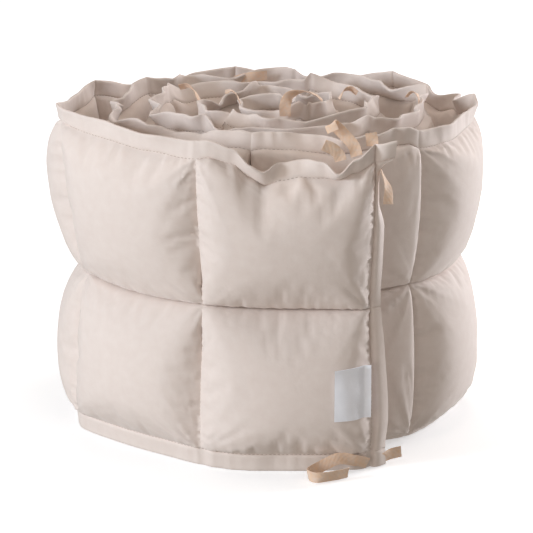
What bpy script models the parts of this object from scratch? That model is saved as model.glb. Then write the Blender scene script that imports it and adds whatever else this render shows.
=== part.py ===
"""Crib bumper: a long quilted pad of two rows of filled squares, rolled up and stood on its edge,
with tape ties along its flange and a folded side label. Metres, +Z up, origin under the middle."""

import math
import random
from typing import NamedTuple

import bmesh
import bpy
from mathutils import Vector
from mathutils.bvhtree import BVHTree

# The pad. Its squares are a little shorter along the roll than the cloth they were cut from
SQUARES = 21
COVERED_SQUARE = 0.1575
FLANGE = 0.017
ROW_HEIGHT = 0.142
LOW_STITCH = FLANGE
MIDDLE_SEAM = FLANGE + ROW_HEIGHT
TOP_STITCH = FLANGE + 2 * ROW_HEIGHT
PAD_HEIGHT = TOP_STITCH + FLANGE
FLANGE_THICKNESS = 0.0040

# The roll seen from above: a spiral of even spacing that turns from an oval into a round core
ROLL_CENTRE = Vector((0.0113, 0.0222, 0.0))
MEAN_RADIUS = 0.2049
OVAL = 0.0118
SQUARENESS = -0.0028
TURN_PITCH = 0.0398
END_ANGLE = math.radians(-68.0)
ROUND_TURNS = 5
STEPS_PER_TURN = 360
BOTTOM_SPREAD = -0.018
TOP_SPREAD = 0.030

# Filling: how far the cloth stands from the middle of the pad
COVERED_CROWN = 0.0165
INNER_CROWN = 0.0135
CROWN_FULLNESS = 0.42
TIGHT_BEND_SHARE = 0.45
LOWER_ROW_DRAW = 0.02
UPPER_ROW_DRAW = 0.03

# The seams draw the cloth in at mid height, and stand out as corners of the outer turns
MIDDLE_SEAM_DRAW = 0.020
DRAWN_TURNS = 1.8
SEAM_CORNER = 0.0105
SEAM_CORNER_TURNS = 2.2
BOTTOM_TUCK = 0.005

COVERED_LEAN = 7
COVERED_RISE = 0.007
HEM_SEED = 21

# Mesh steps
ROW_STEPS = 6

TAPE_WIDTH = 0.011
TAPE_THICKNESS = 0.001
TAPE_STEPS = 3
SEWN_GAP = 0.0004
SEAT_STEP = 0.0001
MOST_SEAT_STEPS = 30

LABEL_LOW = 0.053
LABEL_HIGH = 0.1035
LABEL_REACH = 0.033
LABEL_THICKNESS = 0.0012
LABEL_STEPS = 6
LABEL_CLEAR = 0.0010

COTTON = (0.80, 0.72, 0.67)
TAPE = (0.82, 0.72, 0.63)
LABEL_WHITE = (0.86, 0.87, 0.90)

UP = Vector((0, 0, 1))


class Square(NamedTuple):
    """A square of the outer turn, counted from the outer end, and how far the filling of its lower
    and its upper puff stands out."""

    number: int
    width: float
    lower: float
    upper: float


OUTER_SQUARES = [
    Square(number=0, width=0.158, lower=0.024, upper=0.024),
    Square(number=1, width=0.160, lower=0.024, upper=0.024),
    Square(number=2, width=0.166, lower=0.024, upper=0.024),
    Square(number=3, width=0.162, lower=0.024, upper=0.024),
    Square(number=4, width=0.164, lower=0.024, upper=0.024),
    Square(number=5, width=0.130, lower=0.025, upper=0.022),
    Square(number=6, width=0.160, lower=0.027, upper=0.019),
]


COVERED_PUFFS = Square(number=7, width=COVERED_SQUARE, lower=COVERED_CROWN, upper=COVERED_CROWN)


class Fineness(NamedTuple):
    """Upright mesh steps in each square, up to a square's number."""

    below: int
    steps: int


FINENESS = [
    Fineness(below=7, steps=8),
    Fineness(below=15, steps=6),
    Fineness(below=18, steps=8),
    Fineness(below=21, steps=12),
]


class Hem(NamedTuple):
    """The edges of the outer turn, by squares from the outer end: how far the lower edge stands
    out, how far the top stitch line sags and stands out, and the lean of the flange above it in
    degrees, outwards."""

    place: float
    toe: float
    sag: float
    out: float
    lean: float


HEMS = [
    Hem(place=-0.11, toe=0.014, sag=0.000, out=0.000, lean=5),
    Hem(place=0.00, toe=0.014, sag=0.004, out=0.000, lean=-5),
    Hem(place=0.10, toe=0.016, sag=0.010, out=0.000, lean=30),
    Hem(place=0.20, toe=0.017, sag=0.014, out=0.000, lean=65),
    Hem(place=0.30, toe=0.018, sag=0.012, out=0.000, lean=15),
    Hem(place=0.42, toe=0.018, sag=0.010, out=0.000, lean=-38),
    Hem(place=0.52, toe=0.018, sag=0.013, out=0.000, lean=-30),
    Hem(place=0.62, toe=0.018, sag=0.018, out=0.000, lean=25),
    Hem(place=0.70, toe=0.018, sag=0.011, out=0.000, lean=42),
    Hem(place=0.80, toe=0.016, sag=0.000, out=0.000, lean=26),
    Hem(place=0.92, toe=0.010, sag=-0.003, out=0.000, lean=4),
    Hem(place=1.00, toe=0.003, sag=0.000, out=0.000, lean=-8),
    Hem(place=1.30, toe=0.000, sag=-0.007, out=0.000, lean=12),
    Hem(place=1.60, toe=0.000, sag=-0.011, out=0.000, lean=-6),
    Hem(place=2.00, toe=0.004, sag=-0.008, out=0.000, lean=0),
    Hem(place=2.50, toe=0.000, sag=-0.004, out=0.000, lean=-10),
    Hem(place=2.92, toe=0.000, sag=0.002, out=0.000, lean=6),
    Hem(place=3.05, toe=0.000, sag=0.000, out=0.000, lean=-20),
    Hem(place=3.30, toe=0.000, sag=0.007, out=0.000, lean=12),
    Hem(place=3.55, toe=0.000, sag=0.006, out=0.000, lean=-12),
    Hem(place=3.75, toe=0.000, sag=0.002, out=0.000, lean=8),
    Hem(place=4.00, toe=0.000, sag=0.003, out=0.000, lean=-10),
    Hem(place=4.25, toe=0.000, sag=0.008, out=0.000, lean=14),
    Hem(place=4.60, toe=0.000, sag=0.009, out=0.000, lean=-8),
    Hem(place=4.90, toe=0.000, sag=0.003, out=0.000, lean=4),
    Hem(place=5.00, toe=0.000, sag=0.002, out=0.000, lean=-12),
    Hem(place=5.30, toe=0.000, sag=0.003, out=0.000, lean=16),
    Hem(place=5.55, toe=0.000, sag=0.008, out=0.000, lean=-14),
    Hem(place=5.75, toe=0.000, sag=0.003, out=0.000, lean=30),
    Hem(place=5.85, toe=0.000, sag=0.007, out=0.000, lean=-30),
    Hem(place=6.00, toe=0.000, sag=0.002, out=0.002, lean=10),
    Hem(place=6.14, toe=0.000, sag=0.003, out=0.006, lean=14),
    Hem(place=6.45, toe=0.000, sag=0.000, out=0.003, lean=2),
    Hem(place=6.75, toe=0.000, sag=0.002, out=0.002, lean=6),
    Hem(place=7.00, toe=0.000, sag=0.006, out=0.000, lean=-4),
]


class EndFlange(NamedTuple):
    """The upright flange of the outer end: share of the height, and lean outwards in degrees."""

    share: float
    lean: float


END_FLANGES = [
    EndFlange(share=0.00, lean=4),
    EndFlange(share=0.30, lean=0),
    EndFlange(share=0.48, lean=-8),
    EndFlange(share=0.56, lean=-34),
    EndFlange(share=0.74, lean=-42),
    EndFlange(share=0.82, lean=-72),
    EndFlange(share=0.91, lean=-72),
    EndFlange(share=0.95, lean=0),
    EndFlange(share=1.00, lean=10),
]


class Bend(NamedTuple):
    """A point of a tape's route from where it is sewn on: along the pad, off the face that it is
    sewn to, and up; then the way its width lies, in the same three directions."""

    along: float
    off: float
    up: float
    width: tuple


class Tie(NamedTuple):
    """A tape's place on the pad: squares from the outer end, height, and face (1 is outer)."""

    name: str
    place: float
    height: float
    face: int
    route: list


TIES = [
    Tie("tie_front_long", 0.105, 0.3165, -1, [
        Bend(0.000, 0.000, 0.000, (1.0, 0.0, 0.0)),
        Bend(0.003, 0.004, 0.009, (0.9, 0.0, -0.3)),
        Bend(0.012, 0.008, 0.019, (0.8, 0.0, -0.6)),
        Bend(0.020, 0.008, 0.027, (0.8, 0.0, -0.6)),
        Bend(0.024, 0.004, 0.029, (0.8, 0.0, -0.6)),
        Bend(0.022, 0.000, 0.023, (0.8, 0.0, -0.6)),
    ]),
    Tie("tie_front_short", 0.192, 0.3168, -1, [
        Bend(0.000, 0.000, 0.000, (1.0, 0.0, 0.0)),
        Bend(0.002, -0.001, 0.006, (0.9, 0.0, -0.3)),
        Bend(0.008, -0.003, 0.012, (0.6, 0.0, -0.8)),
        Bend(0.016, -0.005, 0.016, (0.4, 0.0, -0.9)),
    ]),
    Tie("tie_corner_hanging", -0.045, 0.2920, 1, [
        Bend(0.000, 0.000, 0.000, (0.3, 1.0, 0.0)),
        Bend(-0.003, 0.003, -0.009, (0.5, 0.9, 0.0)),
        Bend(-0.005, 0.007, -0.019, (0.9, 0.5, 0.1)),
        Bend(-0.004, 0.010, -0.031, (1.0, 0.2, 0.2)),
    ]),
    Tie("tie_corner_tip", 0.020, 0.3175, -1, [
        Bend(0.000, 0.000, 0.000, (1.0, 0.0, 0.0)),
        Bend(0.000, 0.003, 0.006, (1.0, 0.0, 0.1)),
        Bend(0.001, 0.006, 0.011, (1.0, 0.0, 0.2)),
    ]),
    Tie("tie_foot_curled", 0.010, 0.0066, 1, [
        Bend(0.000, 0.000, 0.000, (0.0, 0.3, 1.0)),
        Bend(0.012, 0.006, 0.005, (0.0, 0.1, 1.0)),
        Bend(0.028, 0.011, 0.009, (0.1, -0.4, 1.0)),
        Bend(0.046, 0.017, 0.003, (0.2, -0.3, 1.0)),
        Bend(0.058, 0.027, 0.000, (0.2, 0.0, 1.0)),
        Bend(0.050, 0.037, 0.000, (0.0, 0.2, 1.0)),
        Bend(0.034, 0.033, 0.000, (0.0, 0.3, 1.0)),
        Bend(0.020, 0.024, 0.000, (0.0, 0.3, 1.0)),
    ]),
    Tie("tie_foot_short", -0.045, 0.0075, -1, [
        Bend(0.000, 0.000, 0.000, (0.0, -0.3, 1.0)),
        Bend(-0.007, 0.003, 0.000, (0.0, -0.2, 1.0)),
        Bend(-0.016, 0.007, 0.001, (0.1, 0.0, 1.0)),
        Bend(-0.026, 0.008, 0.002, (0.2, 0.0, 1.0)),
    ]),
    Tie("tie_foot_right", 6.200, 0.0062, 1, [
        Bend(0.000, 0.000, 0.000, (0.0, 0.3, 1.0)),
        Bend(-0.006, 0.002, 0.000, (0.0, 0.3, 1.0)),
        Bend(-0.011, 0.007, 0.000, (0.0, 0.1, 1.0)),
    ]),
    Tie("tie_inner_left", 18.486, 0.3168, 1, [
        Bend(0.000, 0.000, 0.000, (1.0, 0.0, 0.0)),
        Bend(0.000, 0.005, 0.009, (0.9, 0.0, -0.3)),
        Bend(-0.001, 0.012, 0.014, (0.8, 0.0, -0.6)),
        Bend(-0.002, 0.020, 0.013, (0.8, 0.0, -0.6)),
    ]),
    Tie("tie_inner_front", 20.500, 0.3168, 1, [
        Bend(0.000, 0.000, 0.000, (1.0, 0.0, 0.0)),
        Bend(0.001, 0.003, 0.008, (1.0, 0.0, 0.0)),
        Bend(0.003, 0.008, 0.012, (0.9, 0.2, 0.0)),
        Bend(0.004, 0.014, 0.011, (0.9, 0.3, 0.0)),
    ]),
    Tie("tie_core_arch", 20.150, 0.3110, 1, [
        Bend(0.000, 0.000, 0.000, (1.0, 0.0, 0.0)),
        Bend(0.000, 0.002, 0.012, (1.0, 0.0, 0.0)),
        Bend(-0.005, 0.001, 0.021, (0.7, 0.5, 0.4)),
        Bend(-0.018, -0.002, 0.024, (0.2, 0.9, 0.3)),
        Bend(-0.030, -0.003, 0.020, (0.0, 1.0, 0.0)),
        Bend(-0.036, -0.003, 0.015, (0.0, 1.0, 0.0)),
    ]),
    Tie("tie_core_right", 19.620, 0.3168, 1, [
        Bend(0.000, 0.000, 0.000, (1.0, 0.0, 0.0)),
        Bend(0.000, 0.005, 0.008, (0.9, 0.0, 0.4)),
        Bend(0.001, 0.012, 0.010, (0.8, 0.0, 0.6)),
        Bend(0.003, 0.018, 0.006, (0.8, 0.0, 0.6)),
    ]),
    Tie("tie_back_strip", 10.606, 0.3090, -1, [
        Bend(0.000, 0.000, 0.000, (0.0, 0.0, 1.0)),
        Bend(0.010, 0.003, 0.003, (0.0, 0.1, 1.0)),
        Bend(0.020, 0.006, 0.005, (0.0, 0.3, 1.0)),
        Bend(0.032, 0.007, 0.006, (0.0, 0.3, 1.0)),
    ]),
    Tie("tie_right_loop", 12.330, 0.3150, -1, [
        Bend(0.000, 0.000, 0.000, (1.0, 0.0, 0.0)),
        Bend(0.000, 0.001, 0.008, (1.0, 0.0, 0.0)),
        Bend(0.002, 0.007, 0.012, (0.9, 0.0, 0.4)),
        Bend(0.002, 0.012, 0.007, (0.9, 0.0, 0.4)),
    ]),
]


class Station(NamedTuple):
    """Everything about the pad's cross section at one place along it."""

    length: float
    share: float
    middle: Vector
    along: Vector
    outward: Vector
    draw: float
    lower_crown: float
    upper_crown: float
    inner_crown: float
    hem: Hem


def blended(rows, key, value, column):
    """Straight-line value of one column of a table whose rows climb by another."""
    for low, high in zip(rows, rows[1:]):
        start, end = getattr(low, key), getattr(high, key)
        if value <= end:
            part = max(0.0, (value - start) / (end - start))
            return getattr(low, column) + (getattr(high, column) - getattr(low, column)) * part
    return getattr(rows[-1], column)


def seam_lengths():
    """Arc length of each upright seam, from the outer end."""
    found = [FLANGE]
    for square in OUTER_SQUARES:
        found.append(found[-1] + square.width)
    while len(found) <= SQUARES:
        found.append(found[-1] + COVERED_SQUARE)
    return found


SEAMS = seam_lengths()
PAD_LENGTH = SEAMS[-1] + FLANGE


def length_at(place):
    """Arc length of a place counted in squares; the flange before the first one is negative."""
    square = min(max(math.floor(place), 0), SQUARES - 1)
    return SEAMS[square] + (place - square) * (SEAMS[square + 1] - SEAMS[square])


def place_at(length):
    square = 0
    while square < SQUARES - 1 and SEAMS[square + 1] <= length:
        square += 1
    return square + (length - SEAMS[square]) / (SEAMS[square + 1] - SEAMS[square])


def looseness(turn):
    """1 at the outer end, falling to 0 where the roll has become round."""
    return 1 - turn / ROUND_TURNS


def reach(angle, turn):
    """Distance from the centre to the spiral's tangent line that faces an angle."""
    shape = OVAL * math.cos(2 * angle) + SQUARENESS * math.cos(4 * angle)
    return MEAN_RADIUS - TURN_PITCH * turn + shape * looseness(turn)


def spiral_point(turn, extra=0.0):
    angle = END_ANGLE - 2 * math.pi * turn
    small = 1e-4
    slope = (reach(angle + small, turn) - reach(angle - small, turn)) / (2 * small)
    facing = Vector((math.cos(angle), math.sin(angle), 0))
    beside = Vector((-math.sin(angle), math.cos(angle), 0))
    return ROLL_CENTRE + facing * (reach(angle, turn) + extra) + beside * slope


def bend_radius(turn):
    """Radius of the bend, from the reach and its second difference."""
    angle = END_ANGLE - 2 * math.pi * turn
    small = 1e-2
    here = reach(angle, turn)
    return here + (reach(angle + small, turn) + reach(angle - small, turn) - 2 * here) / small**2


def spiral_lengths():
    """Arc length at each small step of turn, and on until the pad is used up."""
    found = [0.0]
    last = spiral_point(0.0)
    while found[-1] < PAD_LENGTH:
        point = spiral_point(len(found) / STEPS_PER_TURN)
        found.append(found[-1] + (point - last).length)
        last = point
    return found


LENGTHS = spiral_lengths()


def turn_at(length):
    low, high = 0, len(LENGTHS) - 1
    while high - low > 1:
        middle = (low + high) // 2
        if LENGTHS[middle] <= length:
            low = middle
        else:
            high = middle
    return (low + (length - LENGTHS[low]) / (LENGTHS[high] - LENGTHS[low])) / STEPS_PER_TURN


def crown(share):
    return (4 * share * (1 - share)) ** CROWN_FULLNESS if 0 < share < 1 else 0.0


def square_share(length):
    """How far along its square a place is; 0 at the seams and on the end flanges."""
    if length <= SEAMS[0] or length >= SEAMS[-1]:
        return 0.0
    return place_at(length) % 1


def middle_of_cloth(length):
    """Plan point of the middle of the cloth, drawn to a corner at each upright seam."""
    turn = turn_at(length)
    corner = SEAM_CORNER * max(0.0, 1 - turn / SEAM_CORNER_TURNS)
    return spiral_point(turn, corner * (2 * square_share(length) - 1) ** 2)


def eased(step, steps):
    """Shares that crowd towards 0 and 1."""
    return 0.5 - 0.5 * math.cos(math.pi * step / steps)


def station_places():
    """Places of the mesh's upright lines between the first seam and the last."""
    found = []
    for square in range(SQUARES):
        steps = next(row.steps for row in FINENESS if square < row.below)
        found += [square + eased(step, steps) for step in range(steps)]
    return found + [SQUARES]


def hem_from(rows, place):
    return Hem(place, *(blended(rows, "place", place, column) for column in Hem._fields[1:]))


def all_hems():
    """A row for each upright mesh line: from the table on the outer turn, and uneven inside."""
    chance = random.Random(HEM_SEED)
    found = [HEMS[0]]
    for place in station_places():
        if place <= HEMS[-1].place:
            found.append(hem_from(HEMS, place))
        else:
            rise = chance.uniform(0, COVERED_RISE)
            lean = chance.uniform(-COVERED_LEAN, COVERED_LEAN)
            found.append(Hem(place=place, toe=0.0, sag=-rise, out=0.0, lean=lean))
    return found


ALL_HEMS = all_hems()


def station_at(length):
    inside = min(max(length, 0.0003), PAD_LENGTH - 0.0003)
    along = (middle_of_cloth(inside + 0.0003) - middle_of_cloth(inside - 0.0003)).normalized()
    turn = turn_at(length)
    place = place_at(length)
    puffs = OUTER_SQUARES[int(place)] if place < len(OUTER_SQUARES) else COVERED_PUFFS
    return Station(
        length=length,
        share=square_share(length),
        middle=middle_of_cloth(length),
        along=along,
        outward=Vector((-along.y, along.x, 0)),
        draw=max(0.0, 1 - turn / DRAWN_TURNS),
        lower_crown=puffs.lower,
        upper_crown=puffs.upper,
        inner_crown=min(INNER_CROWN, TIGHT_BEND_SHARE * bend_radius(turn)),
        hem=hem_from(ALL_HEMS, place),
    )


def cloth_point(station, height, face):
    """A point on one face of the pad. Height is that of the flat pad, 0 at its lower edge."""
    hem = station.hem
    lean = math.radians(hem.lean)
    fullness = 4 * station.share * (1 - station.share)
    lower = ROW_HEIGHT * (1 - LOWER_ROW_DRAW * fullness)
    upper = ROW_HEIGHT * (1 - UPPER_ROW_DRAW * fullness) - hem.sag
    beyond_top = max(0.0, height - TOP_STITCH)
    low_share = min(1.0, max(0.0, (height - LOW_STITCH) / ROW_HEIGHT))
    high_share = min(1.0, max(0.0, (height - MIDDLE_SEAM) / ROW_HEIGHT))
    z = min(height, FLANGE) + lower * low_share + upper * high_share + beyond_top * math.cos(lean)
    from_middle = max(1 - low_share, high_share)
    push = -MIDDLE_SEAM_DRAW * station.draw * (1 - from_middle) ** 2
    push += hem.toe * (1 - low_share) + hem.out * high_share**2 + beyond_top * math.sin(lean)
    push -= BOTTOM_TUCK * (1 - min(height, FLANGE) / FLANGE)
    facing = station.outward
    if beyond_top:
        facing = facing * math.cos(lean) - UP * math.sin(lean)
    back = 0.0
    if station.length < FLANGE:
        end_lean = math.radians(blended(END_FLANGES, "share", height / PAD_HEIGHT, "lean"))
        edge = FLANGE - station.length
        push += edge * math.sin(end_lean)
        back = edge * (1 - math.cos(end_lean))
        facing = facing + station.along * math.sin(end_lean)
    lower_depth = station.lower_crown if face > 0 else station.inner_crown
    upper_depth = station.upper_crown if face > 0 else station.inner_crown
    depth = lower_depth * crown(low_share) + upper_depth * crown(high_share)
    depth *= crown(station.share)
    spread = 1 + BOTTOM_SPREAD + (TOP_SPREAD - BOTTOM_SPREAD) * z / PAD_HEIGHT
    place = ROLL_CENTRE + (station.middle - ROLL_CENTRE) * spread + UP * z
    skin = facing.normalized() * (FLANGE_THICKNESS / 2)
    return place + station.along * back + station.outward * (push + face * depth) + skin * face


def levels():
    """Heights of the mesh's rows on the flat pad."""
    found = [0.0]
    for row in range(2):
        for step in range(ROW_STEPS):
            found.append(FLANGE + (row + eased(step, ROW_STEPS)) * ROW_HEIGHT)
    return found + [TOP_STITCH, PAD_HEIGHT]


def material(name, colour, roughness):
    made = bpy.data.materials.new(name)
    made.use_nodes = True
    shader = made.node_tree.nodes["Principled BSDF"]
    shader.inputs["Base Color"].default_value = (*colour, 1)
    shader.inputs["Roughness"].default_value = roughness
    shader.inputs["Metallic"].default_value = 0.0
    made.diffuse_color = (*colour, 1)
    return made


def add_solid(name, shape, finish):
    bmesh.ops.recalc_face_normals(shape, faces=shape.faces)
    mesh = bpy.data.meshes.new(name)
    shape.to_mesh(mesh)
    shape.free()
    mesh.shade_smooth()
    mesh.set_sharp_from_angle(angle=math.radians(60))
    mesh.materials.append(finish)
    made = bpy.data.objects.new(name, mesh)
    bpy.context.scene.collection.objects.link(made)
    return made


def sheet_solid(name, columns, finish):
    """A closed solid from its cross sections, each a list of points on one face and a list of
    those opposite them on the other."""
    shape = bmesh.new()
    fronts = [[shape.verts.new(point) for point in front] for front, _ in columns]
    backs = [[shape.verts.new(point) for point in back] for _, back in columns]
    top = len(fronts[0]) - 1
    for near in range(len(columns) - 1):
        far = near + 1
        for row in range(top):
            for side in (fronts, backs):
                shape.faces.new((side[near][row], side[far][row], side[far][row + 1], side[near][row + 1]))
        for row in (0, top):
            shape.faces.new((fronts[near][row], fronts[far][row], backs[far][row], backs[near][row]))
    for end in (0, len(columns) - 1):
        for row in range(top):
            shape.faces.new(
                (fronts[end][row], fronts[end][row + 1], backs[end][row + 1], backs[end][row])
            )
    return add_solid(name, shape, finish)


def quilted_roll(finish):
    """The pad in one piece, wound up: outer and inner cloth, with the filling between them."""
    columns = []
    for length in [0.0] + [length_at(place) for place in station_places()] + [PAD_LENGTH]:
        station = station_at(length)
        outer = [cloth_point(station, height, 1) for height in levels()]
        inner = [cloth_point(station, height, -1) for height in levels()]
        columns.append((outer, inner))
    return sheet_solid("quilted_roll", columns, finish)


def smooth_route(values, steps):
    """Vectors along a smooth curve through the given ones, with some steps between each pair."""
    ends = [values[0] * 2 - values[1]] + values + [values[-1] * 2 - values[-2]]
    found = []
    for index in range(1, len(ends) - 2):
        before, start, end, after = ends[index - 1 : index + 3]
        for step in range(steps):
            t = step / steps
            pull = (end - before) * t + (before * 2 - start * 5 + end * 4 - after) * t**2
            curl = (start * 3 - before - end * 3 + after) * t**3
            found.append(start + (pull + curl) / 2)
    return found + [values[-1]]


def surface_of(made):
    shape = bmesh.new()
    shape.from_mesh(made.data)
    tree = BVHTree.FromBMesh(shape)
    shape.free()
    return tree


def seat(made, pad, skin):
    """Move a sewn piece off the pad, along the normal, by no more than it takes to clear it."""
    for _ in range(MOST_SEAT_STEPS):
        nearest = min(pad.find_nearest(vertex.co)[3] for vertex in made.data.vertices)
        if nearest >= SEWN_GAP and not pad.overlap(surface_of(made)):
            break
        for vertex in made.data.vertices:
            vertex.co += skin * SEAT_STEP


def tape(tie, pad, finish):
    """A flat tape along a tie's route, sewn to the face of the flange at its first point."""
    station = station_at(length_at(tie.place))
    axes = (station.along, station.outward * tie.face, UP)
    on_face = cloth_point(station, tie.height, tie.face)
    skin = (on_face - cloth_point(station, tie.height, -tie.face)).normalized()
    root = on_face + skin * (SEWN_GAP + TAPE_THICKNESS / 2)
    places, widths = [], []
    for bend in tie.route:
        places.append(root + axes[0] * bend.along + axes[1] * bend.off + axes[2] * bend.up)
        widths.append(sum((axis * part for axis, part in zip(axes, bend.width)), Vector()))
    line = smooth_route(places, TAPE_STEPS)
    spread = smooth_route(widths, TAPE_STEPS)
    columns = []
    for index, point in enumerate(line):
        ahead = (line[min(index + 1, len(line) - 1)] - line[max(index - 1, 0)]).normalized()
        width = (spread[index] - ahead * spread[index].dot(ahead)).normalized() * TAPE_WIDTH / 2
        thick = ahead.cross(width).normalized() * TAPE_THICKNESS / 2
        front = [point - width + thick, point + width + thick]
        back = [point - width - thick, point + width - thick]
        columns.append((front, back))
    made = sheet_solid(tie.name, columns, finish)
    seat(made, pad, skin)
    return made


def side_label(finish):
    """A folded tape that comes out of the end seam and lies over the edge of the lower square."""
    columns = []
    heights = [LABEL_LOW + (LABEL_HIGH - LABEL_LOW) * row / LABEL_STEPS for row in range(LABEL_STEPS + 1)]
    for step in range(LABEL_STEPS + 1):
        station = station_at(FLANGE + 0.0005 + LABEL_REACH * step / LABEL_STEPS)
        under = [cloth_point(station, height, 1) + station.outward * LABEL_CLEAR for height in heights]
        over = [point + station.outward * LABEL_THICKNESS for point in under]
        columns.append((over, under))
    return sheet_solid("side_label", columns, finish)


def clear_scene():
    for thing in list(bpy.data.objects):
        bpy.data.objects.remove(thing, do_unlink=True)


def main():
    clear_scene()
    pad = surface_of(quilted_roll(material("cotton_percale", COTTON, 0.75)))
    tape_finish = material("cotton_tape", TAPE, 0.8)
    for tie in TIES:
        tape(tie, pad, tape_finish)
    side_label(material("label_tape", LABEL_WHITE, 0.6))


main()
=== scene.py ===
"""A crib bumper rolled up and stood on its edge: quilted cotton in two rows of filled squares,
with sewn tape ties and a bare side label."""

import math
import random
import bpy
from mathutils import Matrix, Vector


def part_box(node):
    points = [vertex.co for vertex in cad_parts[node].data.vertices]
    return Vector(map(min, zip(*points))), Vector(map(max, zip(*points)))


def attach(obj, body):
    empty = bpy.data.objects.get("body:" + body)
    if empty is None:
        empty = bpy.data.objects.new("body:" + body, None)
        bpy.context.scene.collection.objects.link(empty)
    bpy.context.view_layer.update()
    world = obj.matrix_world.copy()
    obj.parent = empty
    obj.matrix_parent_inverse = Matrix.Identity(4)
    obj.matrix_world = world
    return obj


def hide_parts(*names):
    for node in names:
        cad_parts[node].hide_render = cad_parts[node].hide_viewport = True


bl_info = {
    "name": "Rolled Crib Bumper",
    "version": (1, 0, 0),
    "blender": (4, 5, 0),
    "location": "View3D > Sidebar > Bumper",
    "description": "Dresses a rolled crib bumper in quilted cotton, tape ties, a label and thread",
    "category": "Add Mesh",
}

from typing import NamedTuple

import bmesh
import bpy
from bpy.props import FloatProperty, PointerProperty, StringProperty
from mathutils import Vector, noise
from mathutils.bvhtree import BVHTree

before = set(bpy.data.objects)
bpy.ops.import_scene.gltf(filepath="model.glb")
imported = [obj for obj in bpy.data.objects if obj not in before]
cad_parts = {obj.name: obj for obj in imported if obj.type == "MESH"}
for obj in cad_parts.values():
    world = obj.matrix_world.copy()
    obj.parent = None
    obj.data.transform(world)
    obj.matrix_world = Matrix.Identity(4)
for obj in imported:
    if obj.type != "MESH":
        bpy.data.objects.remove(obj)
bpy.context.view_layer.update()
UP = Vector((0, 0, 1))

# The pad, laid flat, in metres
SQUARES = 21
COVERED_SQUARE = 0.1575
FLANGE = 0.017
ROW_HEIGHT = 0.142
LOW_STITCH = FLANGE
MIDDLE_SEAM = FLANGE + ROW_HEIGHT
TOP_STITCH = FLANGE + 2 * ROW_HEIGHT
PAD_HEIGHT = TOP_STITCH + FLANGE
FLANGE_THICKNESS = 0.0040

# The roll seen from above
ROLL_CENTRE = Vector((0.0113, 0.0222, 0.0))
MEAN_RADIUS = 0.2049
OVAL = 0.0118
SQUARENESS = -0.0028
TURN_PITCH = 0.0398
END_ANGLE = math.radians(-68.0)
ROUND_TURNS = 5
STEPS_PER_TURN = 360
SMALL_ANGLE, BEND_ANGLE = 1e-4, 1e-2
SMALL_LENGTH = 0.0003
BOTTOM_SPREAD = -0.018
TOP_SPREAD = 0.030

# Filling, and how the seams draw it in
COVERED_CROWN = 0.0188
INNER_CROWN = 0.0175
CROWN_FULLNESS = 0.42
TIGHT_BEND_SHARE = 0.45
COVERED_FULLNESS = 0.4
LOWER_ROW_DRAW = 0.02
UPPER_ROW_DRAW = 0.03
MIDDLE_SEAM_DRAW = 0.020
DRAWN_TURNS = 1.8
SEAM_CORNER = 0.0105
SEAM_CORNER_TURNS = 2.2
SEAM_PINCH = 0.0022
PINCHED_SHARE = 0.85
END_SEAM_DRAW = 0.0065
END_SEAM_REACH = 0.0032
END_SEAM_RISE = 0.008
END_RISE_REACH = 0.075
END_RISE_RAMP = 5
END_FLANGE_HOLD = 0.009
SAG_CURVE = 2.5
BOTTOM_TUCK = 0.001
FRONT_SAG = 0.006
TUCK_WIDTH = 0.9
TUCK_DROP = 0.009
TUCK_FLOOR = 0.003
COVERED_LEAN = 7
COVERED_RISE = 0.007
HEM_SEED = 21

# Fineness of the cloth
OUTER_COLUMNS = 56
INNER_COLUMNS = 26
# Shares of the upright flange at each end
END_COLUMNS = (0.0, 0.02, 0.06, 0.18, 0.34, 0.5, 0.66, 0.8, 0.88, 0.94, 0.975)
TAIL_COLUMNS = (0.3, 0.6, 0.9, 1.0)
OUTER_ROWS = 50
INNER_ROWS = 22
HIDDEN_ROWS = 26
LAST_OUTER_SQUARE = 8
CROWDING = 0.65
STITCHED_SHARE = 0.2

# The visible squares start a little flat and are blown up between their seams. They are
# simulated ten times as large, the size that the springs of the cloth suit
PRESSED = 0.76
ENLARGED = 10.0
BLOWN_FRAMES = 25
# A light cotton, pinned where it is sewn, under even pressure. A negative shrink is a growth
FABRIC = {
    "quality": 5,
    "mass": 0.3,
    "tension_stiffness": 15,
    "compression_stiffness": 15,
    "shear_stiffness": 5,
    "bending_stiffness": 0.02,
    "tension_damping": 5,
    "compression_damping": 5,
    "bending_damping": 0.5,
    "use_pressure": True,
    "uniform_pressure_force": 1.5,
    "vertex_group_mass": "sewn",
    "shrink_min": -0.03,
}
STARTING_FOLDS = 0.32
HALF_HIDDEN_FOLDS = 0.45

# Gathers that the thread draws into the cloth: their spacing along a seam, how far they run from
# it, and how strong they are at each level seam from the lowest, and at the upright ones
GATHER_SPACING = 0.014
GATHER_REACH = 0.019
UPRIGHT_GATHER_REACH = GATHER_REACH * 0.7
GATHER_LENGTH, FINE_GATHER_LENGTH = 0.16, 0.10
FINE_GATHER_RATE = 2.1
VALLEY_WIDTH = 0.16
FOLD_HEIGHT = 0.8
SEAM_EDGE = 0.004
LEVEL_GATHERS = (1.0, 0.55, 0.55, 1.5)
UPRIGHT_GATHERS = 0.9

# Folds that run out from the corners of a puff
CORNER_REACH = 0.060
CORNER_START = 0.012
CORNER_RAYS = 4.2
CORNER_RAY_LENGTH = 0.25
CORNER_VALLEY, CORNER_VALLEY_WIDTH = 0.7, 0.12
CORNER_CHANCE = 1.4
CORNER_FOLDS = 2.4

# Unevenness of the filling, none close to the seams
SWELL_SPACING = 0.075
SWELL_MARGIN = 0.03
SMALL_SWELL, SMALL_SWELL_ALONG, SMALL_SWELL_UP = 0.4, 0.028, 0.035

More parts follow.
